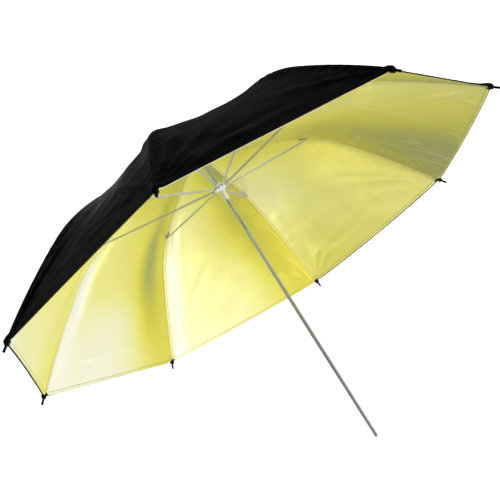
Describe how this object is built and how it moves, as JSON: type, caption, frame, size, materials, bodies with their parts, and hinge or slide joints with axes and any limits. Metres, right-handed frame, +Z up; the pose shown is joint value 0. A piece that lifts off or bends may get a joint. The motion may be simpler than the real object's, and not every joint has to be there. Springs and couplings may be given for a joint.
{
  "type": "photographic umbrella reflector",
  "caption": "Folding umbrella reflector: black-covered, gold-lined canopy on sprung ribs and stretchers, with a runner on a slim shaft that fits an umbrella holder.",
  "frame": {"origin": "on the shaft's axis at the tube's free end, which goes into a light stand's umbrella holder", "axes": "+Y along the shaft from the free end to the crown, so the lined inside faces -Y; +Z up, through a gore's middle and the spring catch; +X to the right seen from the free end"},
  "size_m": [0.9112, 0.6145, 0.9112],
  "materials": {
    "shaft_steel": "bright plated",
    "rib_steel": "zinc plated",
    "stretcher_steel": "zinc plated",
    "wire_steel": "bright",
    "runner_plastic": "moulded",
    "notch_plastic": "moulded",
    "pale_plastic": "moulded",
    "tip_plastic": "moulded",
    "cover_fabric": "coated taffeta",
    "lining_fabric": "metallised, crinkled"
  },
  "bodies": {
    "shaft": {"shaft_tube": "shaft_steel", "shaft_end_plug": "pale_plastic", "top_notch": "notch_plastic", "notch_wire": "wire_steel", "crown_washer": "wire_steel", "ferrule": "tip_plastic", "outer_cover": "cover_fabric", "gold_lining": "lining_fabric"},
    "spring_catch": {"spring_catch": "wire_steel"},
    "runner": {"runner": "runner_plastic", "runner_wire": "wire_steel"},
    "rib_1": {"rib_1": "rib_steel", "rib_joint_1": "wire_steel", "rib_rivet_1": "wire_steel"},
    "rib_end_1": {"rib_end_1": "rib_steel", "rib_tip_1": "tip_plastic"},
    "stretcher_1": {"stretcher_1": "stretcher_steel"},
    "rib_2": {"rib_2": "rib_steel", "rib_joint_2": "wire_steel", "rib_rivet_2": "wire_steel"},
    "rib_end_2": {"rib_end_2": "rib_steel", "rib_tip_2": "tip_plastic"},
    "stretcher_2": {"stretcher_2": "stretcher_steel"},
    "rib_3": {"rib_3": "rib_steel", "rib_joint_3": "wire_steel", "rib_rivet_3": "wire_steel"},
    "rib_end_3": {"rib_end_3": "rib_steel", "rib_tip_3": "tip_plastic"},
    "stretcher_3": {"stretcher_3": "stretcher_steel"},
    "rib_4": {"rib_4": "rib_steel", "rib_joint_4": "wire_steel", "rib_rivet_4": "wire_steel"},
    "rib_end_4": {"rib_end_4": "rib_steel", "rib_tip_4": "tip_plastic"},
    "stretcher_4": {"stretcher_4": "stretcher_steel"},
    "rib_5": {"rib_5": "rib_steel", "rib_joint_5": "wire_steel", "rib_rivet_5": "wire_steel"},
    "rib_end_5": {"rib_end_5": "rib_steel", "rib_tip_5": "tip_plastic"},
    "stretcher_5": {"stretcher_5": "stretcher_steel"},
    "rib_6": {"rib_6": "rib_steel", "rib_joint_6": "wire_steel", "rib_rivet_6": "wire_steel"},
    "rib_end_6": {"rib_end_6": "rib_steel", "rib_tip_6": "tip_plastic"},
    "stretcher_6": {"stretcher_6": "stretcher_steel"},
    "rib_7": {"rib_7": "rib_steel", "rib_joint_7": "wire_steel", "rib_rivet_7": "wire_steel"},
    "rib_end_7": {"rib_end_7": "rib_steel", "rib_tip_7": "tip_plastic"},
    "stretcher_7": {"stretcher_7": "stretcher_steel"},
    "rib_8": {"rib_8": "rib_steel", "rib_joint_8": "wire_steel", "rib_rivet_8": "wire_steel"},
    "rib_end_8": {"rib_end_8": "rib_steel", "rib_tip_8": "tip_plastic"},
    "stretcher_8": {"stretcher_8": "stretcher_steel"}
  },
  "joints": [
    {"name": "canopy_fold", "type": "hinge", "parent": "shaft", "child": "rib_1", "pos_m": [0.00831, 0.594, 0.00344], "axis": [0.3827, 0, -0.9239], "range_deg": [0, 77.24], "deforming": ["outer_cover", "gold_lining", "spring_catch"]},
    {"name": "rib_1_flex", "type": "hinge", "parent": "rib_1", "child": "rib_end_1", "pos_m": [0.22089, 0.55688, 0.0915], "axis": [0.3827, 0, -0.9239], "range_deg": [-25.95, 0]},
    {"name": "stretcher_1_pivot", "type": "hinge", "parent": "rib_1", "child": "stretcher_1", "pos_m": [0.21971, 0.55256, 0.09101], "axis": [0.3827, 0, -0.9239], "range_deg": [-154.98, 0]},
    {"name": "rib_2_fold", "type": "hinge", "parent": "shaft", "child": "rib_2", "pos_m": [0.00344, 0.594, 0.00831], "axis": [0.9239, 0, -0.3827], "range_deg": [0, 77.24]},
    {"name": "rib_2_flex", "type": "hinge", "parent": "rib_2", "child": "rib_end_2", "pos_m": [0.0915, 0.55688, 0.22089], "axis": [0.9239, 0, -0.3827], "range_deg": [-25.95, 0]},
    {"name": "stretcher_2_pivot", "type": "hinge", "parent": "rib_2", "child": "stretcher_2", "pos_m": [0.09101, 0.55256, 0.21971], "axis": [0.9239, 0, -0.3827], "range_deg": [-154.98, 0]},
    {"name": "rib_3_fold", "type": "hinge", "parent": "shaft", "child": "rib_3", "pos_m": [-0.00344, 0.594, 0.00831], "axis": [0.9239, 0, 0.3827], "range_deg": [0, 77.24]},
    {"name": "rib_3_flex", "type": "hinge", "parent": "rib_3", "child": "rib_end_3", "pos_m": [-0.0915, 0.55688, 0.22089], "axis": [0.9239, 0, 0.3827], "range_deg": [-25.95, 0]},
    {"name": "stretcher_3_pivot", "type": "hinge", "parent": "rib_3", "child": "stretcher_3", "pos_m": [-0.09101, 0.55256, 0.21971], "axis": [0.9239, 0, 0.3827], "range_deg": [-154.98, 0]},
    {"name": "rib_4_fold", "type": "hinge", "parent": "shaft", "child": "rib_4", "pos_m": [-0.00831, 0.594, 0.00344], "axis": [0.3827, 0, 0.9239], "range_deg": [0, 77.24]},
    {"name": "rib_4_flex", "type": "hinge", "parent": "rib_4", "child": "rib_end_4", "pos_m": [-0.22089, 0.55688, 0.0915], "axis": [0.3827, 0, 0.9239], "range_deg": [-25.95, 0]},
    {"name": "stretcher_4_pivot", "type": "hinge", "parent": "rib_4", "child": "stretcher_4", "pos_m": [-0.21971, 0.55256, 0.09101], "axis": [0.3827, 0, 0.9239], "range_deg": [-154.98, 0]},
    {"name": "rib_5_fold", "type": "hinge", "parent": "shaft", "child": "rib_5", "pos_m": [-0.00831, 0.594, -0.00344], "axis": [-0.3827, 0, 0.9239], "range_deg": [0, 77.24]},
    {"name": "rib_5_flex", "type": "hinge", "parent": "rib_5", "child": "rib_end_5", "pos_m": [-0.22089, 0.55688, -0.0915], "axis": [-0.3827, 0, 0.9239], "range_deg": [-25.95, 0]},
    {"name": "stretcher_5_pivot", "type": "hinge", "parent": "rib_5", "child": "stretcher_5", "pos_m": [-0.21971, 0.55256, -0.09101], "axis": [-0.3827, 0, 0.9239], "range_deg": [-154.98, 0]},
    {"name": "rib_6_fold", "type": "hinge", "parent": "shaft", "child": "rib_6", "pos_m": [-0.00344, 0.594, -0.00831], "axis": [-0.9239, 0, 0.3827], "range_deg": [0, 77.24]},
    {"name": "rib_6_flex", "type": "hinge", "parent": "rib_6", "child": "rib_end_6", "pos_m": [-0.0915, 0.55688, -0.22089], "axis": [-0.9239, 0, 0.3827], "range_deg": [-25.95, 0]},
    {"name": "stretcher_6_pivot", "type": "hinge", "parent": "rib_6", "child": "stretcher_6", "pos_m": [-0.09101, 0.55256, -0.21971], "axis": [-0.9239, 0, 0.3827], "range_deg": [-154.98, 0]},
    {"name": "rib_7_fold", "type": "hinge", "parent": "shaft", "child": "rib_7", "pos_m": [0.00344, 0.594, -0.00831], "axis": [-0.9239, 0, -0.3827], "range_deg": [0, 77.24]},
    {"name": "rib_7_flex", "type": "hinge", "parent": "rib_7", "child": "rib_end_7", "pos_m": [0.0915, 0.55688, -0.22089], "axis": [-0.9239, 0, -0.3827], "range_deg": [-25.95, 0]},
    {"name": "stretcher_7_pivot", "type": "hinge", "parent": "rib_7", "child": "stretcher_7", "pos_m": [0.09101, 0.55256, -0.21971], "axis": [-0.9239, 0, -0.3827], "range_deg": [-154.98, 0]},
    {"name": "rib_8_fold", "type": "hinge", "parent": "shaft", "child": "rib_8", "pos_m": [0.00831, 0.594, -0.00344], "axis": [-0.3827, 0, -0.9239], "range_deg": [0, 77.24]},
    {"name": "rib_8_flex", "type": "hinge", "parent": "rib_8", "child": "rib_end_8", "pos_m": [0.22089, 0.55688, -0.0915], "axis": [-0.3827, 0, -0.9239], "range_deg": [-25.95, 0]},
    {"name": "stretcher_8_pivot", "type": "hinge", "parent": "rib_8", "child": "stretcher_8", "pos_m": [0.21971, 0.55256, -0.09101], "axis": [-0.3827, 0, -0.9239], "range_deg": [-154.98, 0]},
    {"name": "runner_slide", "type": "hinge", "parent": "stretcher_1", "child": "runner", "pos_m": [0.00831, 0.51113, 0.00344], "axis": [0.3827, 0, -0.9239], "range_deg": [0, 77.44]},
    {"name": "catch_press", "type": "hinge", "parent": "shaft", "child": "spring_catch", "pos_m": [0, 0.424, 0.001], "axis": [-1, 0, 0], "range_deg": [0, 2.2], "stiffness_Nm_per_rad": 0.4}
  ],
  "couplings": [
    {"joint": "rib_1_flex", "follows": "canopy_fold", "ratio": -0.33333},
    {"joint": "stretcher_1_pivot", "follows": "canopy_fold", "ratio": -2},
    {"joint": "rib_2_fold", "follows": "canopy_fold", "ratio": 1},
    {"joint": "rib_2_flex", "follows": "canopy_fold", "ratio": -0.33333},
    {"joint": "stretcher_2_pivot", "follows": "canopy_fold", "ratio": -2},
    {"joint": "rib_3_fold", "follows": "canopy_fold", "ratio": 1},
    {"joint": "rib_3_flex", "follows": "canopy_fold", "ratio": -0.33333},
    {"joint": "stretcher_3_pivot", "follows": "canopy_fold", "ratio": -2},
    {"joint": "rib_4_fold", "follows": "canopy_fold", "ratio": 1},
    {"joint": "rib_4_flex", "follows": "canopy_fold", "ratio": -0.33333},
    {"joint": "stretcher_4_pivot", "follows": "canopy_fold", "ratio": -2},
    {"joint": "rib_5_fold", "follows": "canopy_fold", "ratio": 1},
    {"joint": "rib_5_flex", "follows": "canopy_fold", "ratio": -0.33333},
    {"joint": "stretcher_5_pivot", "follows": "canopy_fold", "ratio": -2},
    {"joint": "rib_6_fold", "follows": "canopy_fold", "ratio": 1},
    {"joint": "rib_6_flex", "follows": "canopy_fold", "ratio": -0.33333},
    {"joint": "stretcher_6_pivot", "follows": "canopy_fold", "ratio": -2},
    {"joint": "rib_7_fold", "follows": "canopy_fold", "ratio": 1},
    {"joint": "rib_7_flex", "follows": "canopy_fold", "ratio": -0.33333},
    {"joint": "stretcher_7_pivot", "follows": "canopy_fold", "ratio": -2},
    {"joint": "rib_8_fold", "follows": "canopy_fold", "ratio": 1},
    {"joint": "rib_8_flex", "follows": "canopy_fold", "ratio": -0.33333},
    {"joint": "stretcher_8_pivot", "follows": "canopy_fold", "ratio": -2},
    {"joint": "runner_slide", "follows": "canopy_fold", "ratio": 1}
  ]
}
